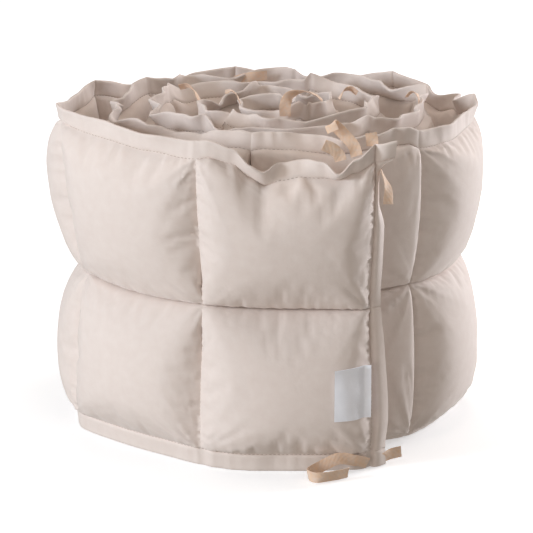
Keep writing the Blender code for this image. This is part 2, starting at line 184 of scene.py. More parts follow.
# Small pleats across the flanges, and waves of the upper one, in degrees
HEM_PLEAT = 0.0010
LEAST_PLEAT = 0.4
PLEAT_SPACING, WIDE_PLEAT_SPACING, WIDE_PLEAT = 0.007, 0.019, 0.6
HEM_WAVE, HEM_WAVE_SPACING = 9, 0.026
COVERED_WAVE, COVERED_WAVE_SPACING = 30.0, 0.060
SHORT_WAVE, SHORT_WAVE_SPACING, OUTER_SHORT_WAVE = 0.55, 0.024, 0.3
WAVE_STRETCH, WAVE_POINT, WAVE_HEIGHT, WAVE_LIMIT = 2.2, 1.6, 1.5, 0.78
COVERED_FROM, COVERED_RAMP = 6.9, 4

# Puckers between one stitch and the next, set after the cloth is blown up
PUCKER_PITCH = 0.0080
PUCKER_REACH = 0.0035
PUCKER_START = 0.0010
PUCKER_DEPTH = 0.0014
UPRIGHT_PUCKER, LEVEL_PUCKER = 0.8, 0.5
ODD_PUCKER, ODD_PUCKER_SPACING, ODD_PUCKER_LENGTH = 0.6, 0.006, 0.03
PULL_DEPTH = 0.0010
CREASE_CLOSING = 0.84
CREASE_REACH = 0.011
ON_SEAM = 1e-6

# Where in the noise each kind of fold is read: any numbers that keep them apart
GATHER_STEP, FINE_GATHER_STEP = 3.7, 5.3
LEVEL_GATHER_PLACE, UPRIGHT_GATHER_PLACE = 7.0, 31.0
CORNER_LEVEL_STEP, CORNER_UPRIGHT_STEP, CORNER_PLACE = 1.3, 2.9, 9.7
SWELL_PLACE, SMALL_SWELL_PLACE = 5.0, 15.0
PLEAT_PLACE, WIDE_PLEAT_PLACE = 2.3, 7.1
HEM_WAVE_PLACE, COVERED_WAVE_PLACE, SHORT_WAVE_PLACE = 3.1, 8.3, 2.7

SHARP_ANGLE = math.radians(65)

# Tape ties: steps from one point of a route to the next, columns across, how deep the width cups
# and how soon that changes along the route, and the share of the thickness left at the edges
TAPE_STEPS = 9
TAPE_COLUMNS = 8
TAPE_CUP, CUP_RATE, TAPE_EDGE = 0.0007, 3.0, 0.55
SEWN_GAP = 0.0004

# The label, laid over the blown-up cloth beside the end seam
LABEL_LOW = 0.0585
LABEL_HIGH = 0.1090
LABEL_REACH = 0.033
LABEL_STEPS = 24
LABEL_CLEAR = 0.0010
LABEL_PROBE = 0.03
LABEL_SMOOTHING = 12
LABEL_SEAM_STEPS = 5
LABEL_CURL = 0.002
LABEL_OFF_SEAM = 0.0005
LABEL_SHADE = "EBEEF6"

# Stitches. The rings are shares along a stitch, and of its width there
STITCH_PITCH = 0.0040
STITCH_LENGTH = 0.0028
STITCH_WIDTH = 0.0009
STITCH_SIDES = 5
STITCH_RINGS = ((0.12, 0.75), (0.5, 1.0), (0.88, 0.75))
SEAM_STEP = 0.004
SEWN_SEAMS = 8


class BumperSizes(bpy.types.PropertyGroup):
    """Sizes of the cloth, tape and label that can be changed without changing the roll."""

    gather: FloatProperty(
        name="Gather depth", description="Depth of the folds at the seams", default=0.0016, unit="LENGTH"
    )
    swell: FloatProperty(
        name="Swell", description="Unevenness of the filling", default=0.0022, unit="LENGTH"
    )
    tape_width: FloatProperty(
        name="Tape width", description="Width of the ties", default=0.011, unit="LENGTH"
    )
    tape_thickness: FloatProperty(
        name="Tape thickness", description="Thickness of the ties", default=0.0009, unit="LENGTH"
    )
    label_thickness: FloatProperty(
        name="Label thickness", description="Thickness of the label", default=0.0012, unit="LENGTH"
    )


class BumperColours(bpy.types.PropertyGroup):
    """Colours of the cloth, tape, label and thread, as sRGB hex."""

    cotton: StringProperty(name="Cotton", description="Colour of the cotton", default="E3D8D1")
    cotton_shade: StringProperty(name="Cotton shade", description="Its darker threads", default="DACCC4")
    tape: StringProperty(name="Tape", description="Colour of the ties", default="EBC197")
    label: StringProperty(name="Label", description="Colour of the label", default="F6F8FF")
    # The stitch colour is dark partly from painted shade of the holes that the thread sinks into
    thread: StringProperty(name="Thread", description="Colour of the stitches", default="8C7768")


class Square(NamedTuple):
    """A square's width, and how far its lower and its upper puff stand out."""

    width: float
    lower: float
    upper: float


OUTER_SQUARES = [Square(*row) for row in (
    (0.158, 0.024, 0.024), (0.160, 0.021, 0.021), (0.166, 0.020, 0.019), (0.162, 0.024, 0.024),
    (0.164, 0.024, 0.024), (0.130, 0.020, 0.016), (0.160, 0.021, 0.014),
)]
COVERED_PUFFS = Square(COVERED_SQUARE, COVERED_CROWN, COVERED_CROWN)


# Up to each square's number, the places in a square where the covered hems bend
FINENESS = ((7, 8), (15, 6), (18, 8), (21, 12))


class Hem(NamedTuple):
    """Edges of the outer turn, by squares from the outer end: how far the lower edge stands out,
    how far the top stitch line sags and stands out, and the outward lean of the flange, degrees."""

    place: float
    toe: float
    sag: float
    out: float
    lean: float


# In millimetres and degrees
HEMS = [Hem(place, toe / 1000, sag / 1000, out / 1000, lean) for place, toe, sag, out, lean in (
    (-0.11, 14, 0, 0, 5), (0.00, 14, 4, 0, -5), (0.10, 16, 10, 0, 30),
    (0.20, 17, 14, 0, 65), (0.30, 18, 12, 0, 15), (0.42, 18, 10, 0, -38),
    (0.52, 18, 13, 0, -30), (0.62, 18, 18, 0, 25), (0.70, 18, 11, 0, 42),
    (0.80, 16, 0, 0, 26), (0.92, 10, -3, 0, 4), (1.00, 3, 0, 0, -8),
    (1.30, 0, -7, 0, 12), (1.60, 0, -12, 2, -2), (2.00, 4, -12, 6, 15),
    (2.50, 0, -5, 2, -6), (2.92, 0, 2, 0, 6), (3.05, 0, 0, 0, -20),
    (3.30, 0, 7, 0, 12), (3.55, 0, 6, 0, -12), (3.75, 0, 2, 0, 8),
    (4.00, 0, 3, 0, -10), (4.25, 0, 8, 0, 14), (4.60, 0, 9, 0, -8),
    (4.90, 0, 3, 0, 4), (5.00, 0, 2, 0, -12), (5.30, 0, 3, 0, 16),
    (5.55, 0, 8, 0, -14), (5.75, 0, 3, 0, 30), (5.85, 0, 7, 0, -30),
    (6.00, 0, 2, 2, 10), (6.14, 0, 3, 3, 12), (6.45, 0, 0, 1, 0),
    (6.75, 0, 2, 2, 6), (7.00, 0, 6, 0, -4),
)]


# By squares from the outer end, the share that the lower flange is turned in under the roll, with
# the puffs above it let down
TUCKS = ((4.40, 0.0), (5.00, 0.7), (5.40, 1.0), (7.25, 1.0), (7.60, 0.0))

# The upright flange of the outer end: share of the height, and lean outwards in degrees
END_FLANGES = (
    (0.00, -30), (0.08, -40), (0.22, -36), (0.38, -40), (0.48, -44),
    (0.56, -50), (0.74, -52), (0.82, -72), (0.91, -72), (0.95, 0),
    (1.00, 10),
)


class Tie(NamedTuple):
    """A tape's place on the pad: squares from the outer end, height, and face (1 is outer). A row of
    its route is how far along the pad, off the face and up from where it is sewn on, in mm, and
    the way its width lies in the same three directions."""

    name: str
    place: float
    height: float
    face: int
    held: str
    route: tuple


TIES = [
    Tie("tie_front_long", 0.105, 0.3165, -1, "folded", (
        (0, 0, 0, 1, 0, 0), (3, 4, 9, 0.9, 0, -0.3),
        (12, 8, 19, 0.8, 0, -0.6), (20, 8, 27, 0.8, 0, -0.6),
        (24, 4, 29, 0.8, 0, -0.6), (22, 0, 23, 0.8, 0, -0.6),
    )),
    Tie("tie_front_short", 0.192, 0.3168, -1, "folded", (
        (0, 0, 0, 1, 0, 0), (2, -1, 6, 0.9, 0, -0.3),
        (8, -3, 12, 0.6, 0, -0.8), (16, -5, 16, 0.4, 0, -0.9),
    )),
    Tie("tie_corner_hanging", -0.045, 0.2920, 1, "hung", (
        (0, 0, 0, 0.3, 1, 0), (-3, 3, -9, 0.5, 0.9, 0),
        (-5, 7, -19, 0.9, 0.5, 0.1), (-4, 10, -31, 1, 0.2, 0.2),
    )),
    Tie("tie_corner_tip", 0.020, 0.3175, -1, "folded", (
        (0, 0, 0, 1, 0, 0), (0, 3, 6, 1, 0, 0.1),
        (1, 6, 11, 1, 0, 0.2),
    )),
    Tie("tie_foot_curled", 0.010, 0.0066, 1, "laid", (
        (0, 0, 0, 0, 0.3, 1), (12, 6, 5, 0, 0.1, 1),
        (28, 11, 9, 0.1, -0.4, 1), (46, 17, 3, 0.2, -0.3, 1),
        (58, 27, 0, 0.2, 0, 1), (50, 37, 0, 0, 0.2, 1),
        (34, 33, 0, 0, 0.3, 1), (20, 24, 0, 0, 0.3, 1),
    )),
    Tie("tie_foot_short", -0.045, 0.0075, -1, "laid", (
        (0, 0, 0, 0, -0.3, 1), (-7, 3, 0, 0, -0.2, 1),
        (-16, 7, 1, 0.1, 0, 1), (-26, 8, 2, 0.2, 0, 1),
    )),
    Tie("tie_foot_right", 6.200, 0.0062, 1, "laid", (
        (0, 0, 0, 0, 0.3, 1), (-6, 2, 0, 0, 0.3, 1),
        (-11, 7, 0, 0, 0.1, 1),
    )),
    Tie("tie_inner_left", 18.486, 0.3168, 1, "folded", (
        (0, 0, 0, 1, 0, 0), (0, 5, 9, 0.9, 0, -0.3),
        (-1, 12, 14, 0.8, 0, -0.6), (-2, 20, 13, 0.8, 0, -0.6),
    )),
    Tie("tie_inner_front", 20.500, 0.3168, 1, "folded", (
        (0, 0, 0, 1, 0, 0), (1, 3, 8, 1, 0, 0),
        (3, 8, 12, 0.9, 0.2, 0), (4, 14, 11, 0.9, 0.3, 0),
    )),
    Tie("tie_core_arch", 20.150, 0.3110, 1, "folded", (
        (0, 0, 0, 1, 0, 0), (0, 2, 12, 1, 0, 0),
        (-5, 1, 21, 0.7, 0.5, 0.4), (-18, -2, 24, 0.2, 0.9, 0.3),
        (-30, -3, 20, 0, 1, 0), (-36, -3, 15, 0, 1, 0),
    )),
    Tie("tie_core_right", 19.620, 0.3168, 1, "folded", (
        (0, 0, 0, 1, 0, 0), (0, 5, 8, 0.9, 0, 0.4),
        (1, 12, 10, 0.8, 0, 0.6), (3, 18, 6, 0.8, 0, 0.6),
    )),
    Tie("tie_back_strip", 10.606, 0.3090, -1, "folded", (
        (0, 0, 0, 0, 0, 1), (10, 3, 3, 0, 0.1, 1),
        (20, 6, 5, 0, 0.3, 1), (32, 7, 6, 0, 0.3, 1),
    )),
    Tie("tie_right_loop", 12.330, 0.3150, -1, "folded", (
        (0, 0, 0, 1, 0, 0), (0, 1, 8, 1, 0, 0),
        (2, 7, 12, 0.9, 0, 0.4), (2, 12, 7, 0.9, 0, 0.4),
    )),
]


class Station(NamedTuple):
    """Everything about the pad's cross section at one place along it."""

    length: float
    place: float
    share: float
    width: float
    middle: Vector
    along: Vector
    outward: Vector
    draw: float
    lower_crown: float
    upper_crown: float
    inner_crown: float
    hem: Hem


def blended(rows, value, column=1, smooth=True):
    """A column of a table whose rows climb by their first one, straight or eased between rows."""
    for low, high in zip(rows, rows[1:]):
        if value <= high[0]:
            part = max(0.0, (value - low[0]) / (high[0] - low[0]))
            if smooth:
                part = part * part * (3 - 2 * part)
            return low[column] + (high[column] - low[column]) * part
    return rows[-1][column]


def seam_lengths():
    """Arc length of each upright seam, from the outer end."""
    found = [FLANGE]
    for square in OUTER_SQUARES:
        found.append(found[-1] + square.width)
    while len(found) <= SQUARES:
        found.append(found[-1] + COVERED_SQUARE)
    return found


SEAMS = seam_lengths()
PAD_LENGTH = SEAMS[-1] + FLANGE


def length_at(place):
    """Arc length of a place counted in squares; the flange before the first one is negative."""
    square = min(max(math.floor(place), 0), SQUARES - 1)
    return SEAMS[square] + (place - square) * (SEAMS[square + 1] - SEAMS[square])


def place_at(length):
    square = 0
    while square < SQUARES - 1 and SEAMS[square + 1] <= length:
        square += 1
    return square + (length - SEAMS[square]) / (SEAMS[square + 1] - SEAMS[square])


def reach(angle, turn):
    """Distance from the centre to the spiral's tangent line that faces an angle."""
    shape = OVAL * math.cos(2 * angle) + SQUARENESS * math.cos(4 * angle)
    return MEAN_RADIUS - TURN_PITCH * turn + shape * (1 - turn / ROUND_TURNS)


def spiral_point(turn, extra=0.0):
    angle = END_ANGLE - 2 * math.pi * turn
    small = SMALL_ANGLE
    slope = (reach(angle + small, turn) - reach(angle - small, turn)) / (2 * small)
    facing = Vector((math.cos(angle), math.sin(angle), 0))
    beside = Vector((-math.sin(angle), math.cos(angle), 0))
    return ROLL_CENTRE + facing * (reach(angle, turn) + extra) + beside * slope


def bend_radius(turn):
    angle = END_ANGLE - 2 * math.pi * turn
    small = BEND_ANGLE
    here = reach(angle, turn)
    return here + (reach(angle + small, turn) + reach(angle - small, turn) - 2 * here) / small**2


def spiral_lengths():
    """Arc length at each small step of turn, and on until the pad is used up."""
    found = [0.0]
    last = spiral_point(0.0)
    while found[-1] < PAD_LENGTH:
        point = spiral_point(len(found) / STEPS_PER_TURN)
        found.append(found[-1] + (point - last).length)
        last = point
    return found


LENGTHS = spiral_lengths()


def turn_at(length):
    low, high = 0, len(LENGTHS) - 1
    while high - low > 1:
        middle = (low + high) // 2
        if LENGTHS[middle] <= length:
            low = middle
        else:
            high = middle
    return (low + (length - LENGTHS[low]) / (LENGTHS[high] - LENGTHS[low])) / STEPS_PER_TURN


def crown(share):
    return (4 * share * (1 - share)) ** CROWN_FULLNESS if 0 < share < 1 else 0.0


def square_share(length):
    """How far along its square a place is; 0 at the seams and on the end flanges."""
    if length <= SEAMS[0] or length >= SEAMS[-1]:
        return 0.0
    return place_at(length) % 1


def middle_of_cloth(length):
    """Plan point of the middle of the cloth, drawn to a corner at each upright seam."""
    turn = turn_at(length)
    corner = SEAM_CORNER * max(0.0, 1 - turn / SEAM_CORNER_TURNS)
    return spiral_point(turn, corner * (2 * square_share(length) - 1) ** 2)


def eased(step, steps):
    """Shares that crowd towards 0 and 1."""
    return 0.5 - 0.5 * math.cos(math.pi * step / steps)


def crowded(step, steps):
    """Shares from even ones to eased ones, for the rows and columns of the cloth."""
    return (1 - CROWDING) * step / steps + CROWDING * eased(step, steps)


def bend_places():
    """Places where the covered hems bend, from the first seam to the last."""
    found = []
    for square in range(SQUARES):
        steps = next(steps for below, steps in FINENESS if square < below)
        found += [square + eased(step, steps) for step in range(steps)]
    return found + [SQUARES]


def covered_hems():
    """The table of the outer turn, then uneven bends inside the roll."""
    chance = random.Random(HEM_SEED)
    found = list(HEMS)
    for place in bend_places():
        if place > HEMS[-1].place:
            rise = chance.uniform(0, COVERED_RISE)
            lean = chance.uniform(-COVERED_LEAN, COVERED_LEAN)
            found.append(Hem(place=place, toe=0.0, sag=-rise, out=0.0, lean=lean))
    return found


ALL_HEMS = covered_hems()


def hem_at(place):
    smooth = place <= HEMS[-1].place
    columns = range(1, len(Hem._fields))
    return Hem(place, *(blended(ALL_HEMS, place, column, smooth) for column in columns))


def station_at(length):
    inside = min(max(length, SMALL_LENGTH), PAD_LENGTH - SMALL_LENGTH)
    ahead = middle_of_cloth(inside + SMALL_LENGTH) - middle_of_cloth(inside - SMALL_LENGTH)
    along = ahead.normalized()
    turn = turn_at(length)
    place = place_at(length)
    number = min(max(int(place), 0), SQUARES - 1)
    puffs = OUTER_SQUARES[number] if number < len(OUTER_SQUARES) else COVERED_PUFFS
    return Station(
        length=length,
        place=place,
        share=square_share(length),
        width=SEAMS[number + 1] - SEAMS[number],
        middle=middle_of_cloth(length),
        along=along,
        outward=Vector((-along.y, along.x, 0)),
        draw=max(0.0, 1 - turn / DRAWN_TURNS),
        lower_crown=puffs.lower,
        upper_crown=puffs.upper,
        inner_crown=min(INNER_CROWN, TIGHT_BEND_SHARE * bend_radius(turn)),
        hem=hem_at(place),
    )


def ripple(first, second, third=0.0):
    return noise.noise(Vector((first, second, third)))


def pleat(where, across, line):
    """Folds that a seam draws in: rounded ridges with narrow valleys, -1 to about 1."""
    value = ripple(where / GATHER_SPACING, across / GATHER_LENGTH, line * GATHER_STEP)
    finer = where / GATHER_SPACING * FINE_GATHER_RATE
    value += 0.5 * ripple(finer, across / FINE_GATHER_LENGTH, line * FINE_GATHER_STEP)
    valley = max(0.0, 1 - abs(value) / VALLEY_WIDTH)
    return FOLD_HEIGHT * value - FOLD_HEIGHT * valley * valley


def fades(distance, reach, start=SEAM_EDGE):
    """From 0 at a seam to 1 just beside it, and away again over the reach."""
    return math.exp(-distance / reach) * (1 - math.exp(-distance / start))


def nearest_seams(length, height):
    """Distances from the nearest level and upright seams, in metres, and which seams those are."""
    share = square_share(length)
    rise = (height - LOW_STITCH) / ROW_HEIGHT
    upper = rise >= 1
    rise %= 1
    from_level = min(rise, 1 - rise) * ROW_HEIGHT
    from_upright = min(share, 1 - share) * COVERED_SQUARE
    level_line = (2 if upper else 0) + (1 if rise > 0.5 else 0)
    upright_line = int(place_at(length)) + (1 if share > 0.5 else 0)
    return from_level, from_upright, level_line, upright_line


def corner_pulls(length, height):
    """Folds that run out from the corners of a puff, where two seams pull at once, about -1 to 1."""
    from_level, from_upright, level_line, upright_line = nearest_seams(length, height)
    corner = math.hypot(from_level, from_upright)
    angle = math.atan2(from_level, from_upright)
    seed = level_line * CORNER_LEVEL_STEP + upright_line * CORNER_UPRIGHT_STEP
    rays = ripple(angle * CORNER_RAYS, seed, corner / CORNER_RAY_LENGTH)
    rays -= CORNER_VALLEY * max(0.0, 1 - abs(rays) / CORNER_VALLEY_WIDTH) ** 2
    strength = 1.0 + CORNER_CHANCE * ripple(seed, CORNER_PLACE)
    return rays * fades(corner, CORNER_REACH, CORNER_START) * strength


def fold_depth(station, height, sizes):
    """How far the thread draws folds into a puff, and the filling's unevenness, at one point."""
    if not LOW_STITCH < height < TOP_STITCH or height == MIDDLE_SEAM or not station.share:
        return 0.0
    from_level, from_upright, level_line, upright_line = nearest_seams(station.length, height)
    gathers = pleat(station.length, from_level, level_line + LEVEL_GATHER_PLACE)
    folds = LEVEL_GATHERS[level_line] * gathers * fades(from_level, GATHER_REACH)
    gathers = pleat(height, from_upright, upright_line + UPRIGHT_GATHER_PLACE)
    folds += UPRIGHT_GATHERS * gathers * fades(from_upright, UPRIGHT_GATHER_REACH)
    folds += CORNER_FOLDS * corner_pulls(station.length, height)
    soft = min(1.0, from_level / SWELL_MARGIN) * min(1.0, from_upright / SWELL_MARGIN)
    swell = ripple(station.length / SWELL_SPACING, height / SWELL_SPACING, SWELL_PLACE)
    swell += SMALL_SWELL * ripple(
        station.length / SMALL_SWELL_ALONG, height / SMALL_SWELL_UP, SMALL_SWELL_PLACE
    )
    return folds * 2 * sizes.gather + swell * soft * sizes.swell


def pointed(first, second):
    """Uneven waves with pointed crests, as pressed cotton folds, from -1 to 1."""
    value = WAVE_STRETCH * ripple(first, second)
    if abs(value) < WAVE_LIMIT:
        return WAVE_HEIGHT * math.copysign(abs(value) ** WAVE_POINT, value)
    return math.copysign(1.0, value)


def seam_thinness(station):
    """Share of the thickness left near an upright seam, where thread pulls both layers together."""
    if station.share:
        from_seam = min(station.share, 1 - station.share) * station.width
    else:
        from_seam = max(0.0, SEAMS[0] - station.length)
    return 1 - PINCHED_SHARE * math.exp(-from_seam / SEAM_PINCH)


def hem_pleat(station):
    """Small pleats across the flange, where the hem is eased onto its stitch line."""
    narrow = ripple(station.length / PLEAT_SPACING, PLEAT_PLACE)
    wide = ripple(station.length / WIDE_PLEAT_SPACING, WIDE_PLEAT_PLACE)
    return HEM_PLEAT * (narrow + WIDE_PLEAT * wide)


def hem_lean(station):
    """Outward lean of the upper flange: the table's, with small waves, and large ones if covered."""
    covered = min(1.0, max(0.0, (station.place - COVERED_FROM) * COVERED_RAMP))
    wave = ripple(station.length / HEM_WAVE_SPACING, HEM_WAVE_PLACE) * HEM_WAVE
    wave += covered * COVERED_WAVE * pointed(station.length / COVERED_WAVE_SPACING, COVERED_WAVE_PLACE)
    short = pointed(station.length / SHORT_WAVE_SPACING, SHORT_WAVE_PLACE)
    wave += (OUTER_SHORT_WAVE + covered) * COVERED_WAVE * SHORT_WAVE * short
    return math.radians(station.hem.lean + wave)


def turned_under(place):
    """Share of the way that the lower flange is turned in under the roll."""
    return blended(TUCKS, place) if TUCKS[0][0] < place else 0.0


def pad_point(station, height, face, sizes, thin=1.0, folds=1.0, fullness_share=1.0):
    """A point on one face of the pad. Height is that of the flat pad, 0 at its lower edge."""
    hem = station.hem
    lean = hem_lean(station)
    fullness = 4 * station.share * (1 - station.share)
    lower = ROW_HEIGHT * (1 - LOWER_ROW_DRAW * fullness)
    upper = ROW_HEIGHT * (1 - UPPER_ROW_DRAW * fullness)
    beyond_top = max(0.0, height - TOP_STITCH)
    low_share = min(1.0, max(0.0, (height - LOW_STITCH) / ROW_HEIGHT))
    high_share = min(1.0, max(0.0, (height - MIDDLE_SEAM) / ROW_HEIGHT))
    sag = hem.sag * high_share**SAG_CURVE
    z = min(height, FLANGE) + lower * low_share + upper * high_share - sag + beyond_top * math.cos(lean)
    from_middle = max(1 - low_share, high_share)
    z -= FRONT_SAG * (1 - from_middle) * max(0.0, 1 - max(0.0, station.place) / 2)
    push = -MIDDLE_SEAM_DRAW * station.draw * (1 - from_middle) ** 2
    push += hem.toe * (1 - low_share) + hem.out * high_share**2 + beyond_top * math.sin(lean)
    below = 1 - min(height, FLANGE) / FLANGE
    push -= BOTTOM_TUCK * below
    turned = turned_under(station.place)
    if turned:
        push -= turned * FLANGE * below * TUCK_WIDTH
        z -= (
            turned * TUCK_DROP * (1 - low_share) * (1 - below)
            + turned * below * (z - TUCK_FLOOR * turned)
        )
    push -= END_SEAM_DRAW * math.exp(-abs(station.length - FLANGE) / END_SEAM_REACH)
    near_end = max(0.0, 1 - max(0.0, station.length - FLANGE) / END_RISE_REACH) ** 2
    push += END_SEAM_RISE * near_end * min(1.0, low_share * END_RISE_RAMP) * (1 - high_share**4)
    facing = station.outward
    if beyond_top:
        facing = facing * math.cos(lean) - UP * math.sin(lean)
    back = 0.0
    if station.length < FLANGE:
        end_lean = math.radians(blended(END_FLANGES, height / PAD_HEIGHT))
        edge = FLANGE - station.length
        push += edge * math.sin(end_lean) + END_FLANGE_HOLD * (1 - from_middle) ** 2 * edge / FLANGE
        back = edge * (1 - math.cos(end_lean))
        facing = facing + station.along * math.sin(end_lean)
    lower_depth = station.lower_crown if face > 0 else station.inner_crown
    upper_depth = station.upper_crown if face > 0 else station.inner_crown
    depth = lower_depth * crown(low_share) + upper_depth * crown(high_share)
    power = COVERED_FULLNESS if station.place > len(OUTER_SQUARES) else 1
    depth *= crown(station.share) ** power * fullness_share
    if folds:
        drawn = folds * fold_depth(station, height, sizes)
        depth += drawn if face > 0 else -0.5 * abs(drawn)
    spread = 1 + BOTTOM_SPREAD + (TOP_SPREAD - BOTTOM_SPREAD) * z / PAD_HEIGHT
    place = ROLL_CENTRE + (station.middle - ROLL_CENTRE) * spread + UP * z
    thick = FLANGE_THICKNESS / 2 * thin * seam_thinness(station)
    on_flange = max(beyond_top, FLANGE - height) / FLANGE
    if folds and 0 < on_flange < 1:
        strength = min(1.0, 4 * on_flange * (1 - on_flange) + LEAST_PLEAT)
        thick += face * hem_pleat(station) * strength
    skin = facing.normalized() * thick
    return place + station.along * back + station.outward * (push + face * depth) + skin * face


def linear(colour):
    """sRGB hex to linear RGBA."""
    parts = [int(colour[index : index + 2], 16) / 255 for index in (0, 2, 4)]
    bent = [part / 12.92 if part <= 0.04045 else ((part + 0.055) / 1.055) ** 2.4 for part in parts]
    return (*bent, 1)


def add_node(tree, kind, settings=None, inputs=None, links=None):
    """A node with its settings, its fixed inputs, and links from other nodes' sockets."""
    node = tree.nodes.new(kind)
    for name, value in (settings or {}).items():
        setattr(node, name, value)
    for name, value in (inputs or {}).items():
        node.inputs[name].default_value = value
    for name, socket in (links or {}).items():
        tree.links.new(socket, node.inputs[name])
    return node


def new_material(name, surface):
    """A material, its nodes, and its shader with the given fixed inputs, linked to the output."""
    made = bpy.data.materials.new(name)
    made.use_nodes = True
    tree = made.node_tree
    tree.nodes.clear()
    shader = add_node(tree, "ShaderNodeBsdfPrincipled", inputs=surface)
    add_node(tree, "ShaderNodeOutputMaterial", links={"Surface": shader.outputs["BSDF"]})
    return made, tree, shader


def stripes(bands, pitch):
    """Settings and inputs of a wave whose lines lie the pitch apart, in metres. At a scale of 1 it
    has 20 radians to the unit, and 10 each way if it slants."""
    radians = 10 * math.sqrt(2) if bands == "DIAGONAL" else 20
    return {"bands_direction": bands}, {"Scale": math.tau / radians / pitch}


def percale_cotton(colours):
    """Percale, plain-woven from fine combed cotton and pressed: matt, with a faint soft sheen."""
    surface = {"Roughness": 0.82, "IOR": 1.45, "Sheen Weight": 0.25, "Sheen Roughness": 0.5}
    made, tree, shader = new_material("percale_cotton", surface)
    where = {"Vector": add_node(tree, "ShaderNodeUVMap", {"uv_map": "cloth"}).outputs["UV"]}
    # Real threads lie 0.25 mm apart. They are drawn 1.1 mm apart, the finest that shows
    warp = add_node(tree, "ShaderNodeTexWave", *stripes("X", 0.0010857), where)
    weft = add_node(tree, "ShaderNodeTexWave", *stripes("Y", 0.0010857), where)
    weave = add_node(tree, "ShaderNodeMath", {"operation": "MULTIPLY"})
    tree.links.new(warp.outputs["Fac"], weave.inputs[0])
    tree.links.new(weft.outputs["Fac"], weave.inputs[1])
    # Slubs, where a thread is thicker, about 9 mm long
    slubs = add_node(tree, "ShaderNodeTexNoise", {}, {"Scale": 110.0, "Detail": 3.0}, where)
    # Creases left by washing and folding, 20 to 40 mm apart
    rough = {"Scale": 30.0, "Detail": 4.0, "Roughness": 0.55, "Distortion": 0.6}
    creases = add_node(tree, "ShaderNodeTexNoise", {}, rough, where)
    tones = {"A": linear(colours.cotton), "B": linear(colours.cotton_shade)}
    share = {"Factor": slubs.outputs["Fac"]}
    tone = add_node(tree, "ShaderNodeMix", {"data_type": "RGBA"}, tones, share)
    fine = add_node(
        tree, "ShaderNodeBump", {}, {"Strength": 0.10, "Distance": 0.0002}, {"Height": weave.outputs[0]}
    )
    crumple = add_node(
        tree, "ShaderNodeBump", {}, {"Strength": 0.35, "Distance": 0.0016},
        {"Height": creases.outputs["Fac"], "Normal": fine.outputs["Normal"]},
    )
    tree.links.new(tone.outputs["Result"], shader.inputs["Base Color"])
    tree.links.new(crumple.outputs["Normal"], shader.inputs["Normal"])
    return made


def ribbed_tape(name, surface, ribs, rib_depth, blotch_scale, tones):
    """A woven tape with raised ribs, in two tones that drift into each other."""
    made, tree, shader = new_material(name, surface)
    where = {"Vector": add_node(tree, "ShaderNodeUVMap", {"uv_map": "cloth"}).outputs["UV"]}
    raised = add_node(tree, "ShaderNodeTexWave", *ribs, where)
    drift = add_node(tree, "ShaderNodeTexNoise", {}, {"Scale": blotch_scale, "Detail": 3.0}, where)
    tones = {"A": linear(tones[0]), "B": linear(tones[1])}
    share = {"Factor": drift.outputs["Fac"]}
    tone = add_node(tree, "ShaderNodeMix", {"data_type": "RGBA"}, tones, share)
    bump = add_node(tree, "ShaderNodeBump", {}, rib_depth, {"Height": raised.outputs["Fac"]})
    tree.links.new(tone.outputs["Result"], shader.inputs["Base Color"])
    tree.links.new(bump.outputs["Normal"], shader.inputs["Normal"])
    return made


def twill_tape(colours):
    """Cotton twill tape, woven narrow: slanting ribs and two firm edges, warm in the light."""
    # Real ribs lie 0.6 mm apart. They are drawn 3.35 mm apart, to show, and the fuzz is 4 mm long
    return ribbed_tape(
        "cotton_twill_tape", {"Roughness": 0.85, "IOR": 1.45, "Sheen Weight": 0.2},
        stripes("DIAGONAL", 0.00335), {"Strength": 0.3, "Distance": 0.0003},
        260.0, (colours.tape, colours.cotton_shade),
    )


def woven_label(colours):
    """Damask label tape, woven from fine polyester: cool white, satin-smooth, with faint ribs."""
    # Real ribs lie 0.3 mm apart. They are drawn 2 mm apart, to show, and the soil is 11 mm across
    return ribbed_tape(
        "woven_label_tape", {"Roughness": 0.55, "IOR": 1.5, "Sheen Weight": 0.1},
        stripes("Y", 0.001974), {"Strength": 0.25, "Distance": 0.0002},
        90.0, (colours.label, LABEL_SHADE),
    )


def thread_finish_with_painted_shade(colours):
    """Spun polyester sewing thread: matt and darker than the cloth. The dark colour is partly the
    thread's own and partly painted shade of the holes that the stitches sink into.
    """
    made, tree, shader = new_material("spun_thread_with_painted_shade", {"Roughness": 0.7, "IOR": 1.5})
    where = {"Vector": add_node(tree, "ShaderNodeTexCoord").outputs["Object"]}
    # The twist shows about 1 mm long
    twist = add_node(tree, "ShaderNodeTexNoise", {}, {"Scale": 900.0, "Detail": 2.0}, where)
    tones = {"A": linear(colours.thread), "B": linear(colours.cotton_shade)}
    share = {"Factor": twist.outputs["Fac"]}
    tone = add_node(tree, "ShaderNodeMix", {"data_type": "RGBA"}, tones, share)
    tree.links.new(tone.outputs["Result"], shader.inputs["Base Color"])
    return made


def material_once(make, name, colours):
    return bpy.data.materials.get(name) or make(colours)


def dressed(name, points, faces, finish, texture_points=None):
    """A smooth object from points and faces, with the flat cloth's metres as its texture map."""
    mesh = bpy.data.meshes.new(name)
    mesh.from_pydata([tuple(point) for point in points], [], faces)
    if texture_points:
        layer = mesh.uv_layers.new(name="cloth")
        for loop in mesh.loops:
            layer.data[loop.index].uv = texture_points[loop.vertex_index]
    shape = bmesh.new()
    shape.from_mesh(mesh)
    bmesh.ops.recalc_face_normals(shape, faces=shape.faces)
    shape.to_mesh(mesh)
    shape.free()
    mesh.shade_smooth()
    mesh.set_sharp_from_angle(angle=SHARP_ANGLE)
    mesh.materials.append(finish)
    made = bpy.data.objects.new(name, mesh)
    bpy.context.scene.collection.objects.link(made)
    return made


